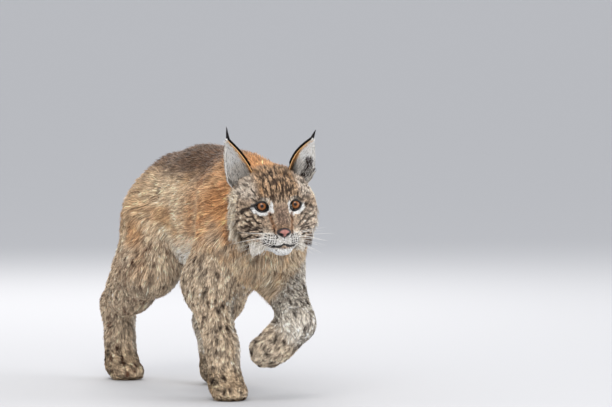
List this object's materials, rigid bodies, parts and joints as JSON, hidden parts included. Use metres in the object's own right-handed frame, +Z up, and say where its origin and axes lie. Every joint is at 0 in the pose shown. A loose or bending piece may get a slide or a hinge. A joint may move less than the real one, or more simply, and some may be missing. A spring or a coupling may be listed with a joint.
{
  "type": "eurasian lynx",
  "caption": "Life-size still model of a young lynx in mid stride, one forepaw lifted, with cheek ruff, ear tufts and bobbed tail.",
  "frame": {"origin": "middle of the underside of the whole box, level with the soles of the three planted paws", "axes": "the animal faces -Y, its left side is towards +X, +Z is up"},
  "size_m": [0.2896, 0.8466, 0.5638],
  "materials": {
    "coat": "dense winter fur",
    "amber_eye": "polished",
    "nose_leather": "fine grained"
  },
  "bodies": {
    "root": {"ear_left": "coat", "ear_right": "coat", "eye_left": "amber_eye", "eye_right": "amber_eye", "foreleg_left_lower": "coat", "foreleg_left_upper": "coat", "foreleg_right_lower": "coat", "foreleg_right_upper": "coat", "forepaw_left": "coat", "forepaw_right": "coat", "head": "coat", "hindleg_left_shank": "coat", "hindleg_left_thigh": "coat", "hindleg_right_shank": "coat", "hindleg_right_thigh": "coat", "hindpaw_left": "coat", "hindpaw_right": "coat", "neck": "coat", "nose": "nose_leather", "tail": "coat", "torso": "coat"}
  },
  "joints": []
}
